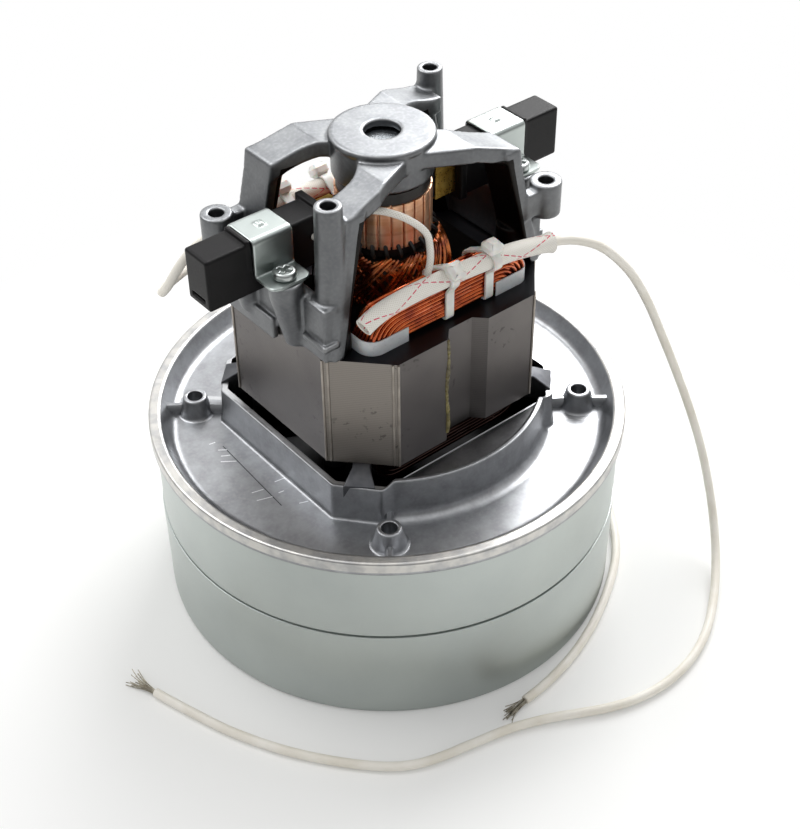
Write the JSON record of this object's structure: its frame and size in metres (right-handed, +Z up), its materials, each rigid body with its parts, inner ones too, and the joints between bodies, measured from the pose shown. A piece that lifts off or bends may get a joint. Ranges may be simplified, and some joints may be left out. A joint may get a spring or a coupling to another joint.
{
  "type": "vacuum motor unit",
  "caption": "Vacuum cleaner motor with a closed two-stage fan casing, a ribbed cast flange, an open field core with wound coils, brush gear and a cast top bracket.",
  "frame": {"origin": "middle of the underside of the lower casing, on the shaft axis", "axes": "+Z up the shaft to the bearing cap, +X through the two brushes, +Y through the two field coils"},
  "size_m": [0.1843, 0.1827, 0.1572],
  "materials": {
    "zinc_sheet": "satin zinc plate",
    "cast_aluminium": "grainy die casting",
    "fan_aluminium": "bright rolled sheet",
    "bright_steel": "ground",
    "plated_steel": "bright zinc plate",
    "lamination": "stacked varnished sheets",
    "varnished_copper": "glossy varnished wire",
    "bare_copper": "turned and run in",
    "brass": "drawn tube",
    "tinned_copper": "loose tinned strands",
    "bakelite": "satin moulding",
    "carbon": "pressed carbon",
    "white_film": "thin film",
    "nylon": "milky moulding",
    "glass_braid": "braided",
    "silicone": "satin"
  },
  "bodies": {
    "motor_frame": {"lower_casing": "zinc_sheet", "upper_casing": "zinc_sheet", "stage_divider": "fan_aluminium", "base_flange": "cast_aluminium", "lower_outer_race": "bright_steel", "upper_outer_race": "bright_steel", "wave_washer": "bright_steel", "field_core": "lamination", "field_coil_front": "varnished_copper", "field_coil_back": "varnished_copper", "slot_liners_front": "white_film", "slot_liners_back": "white_film", "coil_sleeve_front": "glass_braid", "coil_sleeve_back": "glass_braid", "cable_ties_front": "nylon", "cable_ties_back": "nylon", "brush_jumper_front": "glass_braid", "brush_jumper_back": "glass_braid", "top_bracket": "cast_aluminium", "brush_holder_left": "bakelite", "brush_holder_right": "bakelite", "brush_tube_left": "brass", "brush_tube_right": "brass", "brush_spring_left": "bright_steel", "brush_spring_right": "bright_steel", "brush_strap_left": "plated_steel", "brush_strap_right": "plated_steel", "strap_screws": "plated_steel", "core_bolts": "plated_steel", "lead_front": "silicone", "lead_back": "silicone", "lead_front_strands": "tinned_copper", "lead_back_strands": "tinned_copper"},
    "rotor": {"shaft": "bright_steel", "first_fan": "fan_aluminium", "second_fan": "fan_aluminium", "fan_washers": "bright_steel", "fan_spacer": "bright_steel", "bearing_spacer": "bright_steel", "fan_nut": "bright_steel", "armature_core": "lamination", "armature_winding": "varnished_copper", "commutator_bars": "bare_copper", "commutator_hub": "bakelite", "lower_inner_race": "bright_steel", "upper_inner_race": "bright_steel"},
    "lower_balls": {"lower_ball_set": "bright_steel"},
    "upper_balls": {"upper_ball_set": "bright_steel"},
    "brush_left": {"carbon_brush_left": "carbon"},
    "brush_right": {"carbon_brush_right": "carbon"}
  },
  "joints": [
    {"name": "rotor_spin", "type": "hinge", "parent": "motor_frame", "child": "rotor", "pos_m": [0, 0, 0.1], "axis": [0, 0, 1], "continuous": true},
    {"name": "lower_ball_spin", "type": "hinge", "parent": "motor_frame", "child": "lower_balls", "pos_m": [0, 0, 0.0575], "axis": [0, 0, 1], "continuous": true},
    {"name": "upper_ball_spin", "type": "hinge", "parent": "motor_frame", "child": "upper_balls", "pos_m": [0, 0, 0.1508], "axis": [0, 0, 1], "continuous": true},
    {"name": "brush_left_slide", "type": "slide", "parent": "motor_frame", "child": "brush_left", "axis": [-1, 0, 0], "range_m": [0, 0.014], "stiffness_N_per_m": 120, "springref_m": -0.022, "deforming": ["brush_spring_left"]},
    {"name": "brush_right_slide", "type": "slide", "parent": "motor_frame", "child": "brush_right", "axis": [1, 0, 0], "range_m": [0, 0.014], "stiffness_N_per_m": 120, "springref_m": -0.022, "deforming": ["brush_spring_right"]}
  ],
  "couplings": [
    {"joint": "lower_ball_spin", "follows": "rotor_spin", "ratio": 0.3667},
    {"joint": "upper_ball_spin", "follows": "rotor_spin", "ratio": 0.3667}
  ]
}
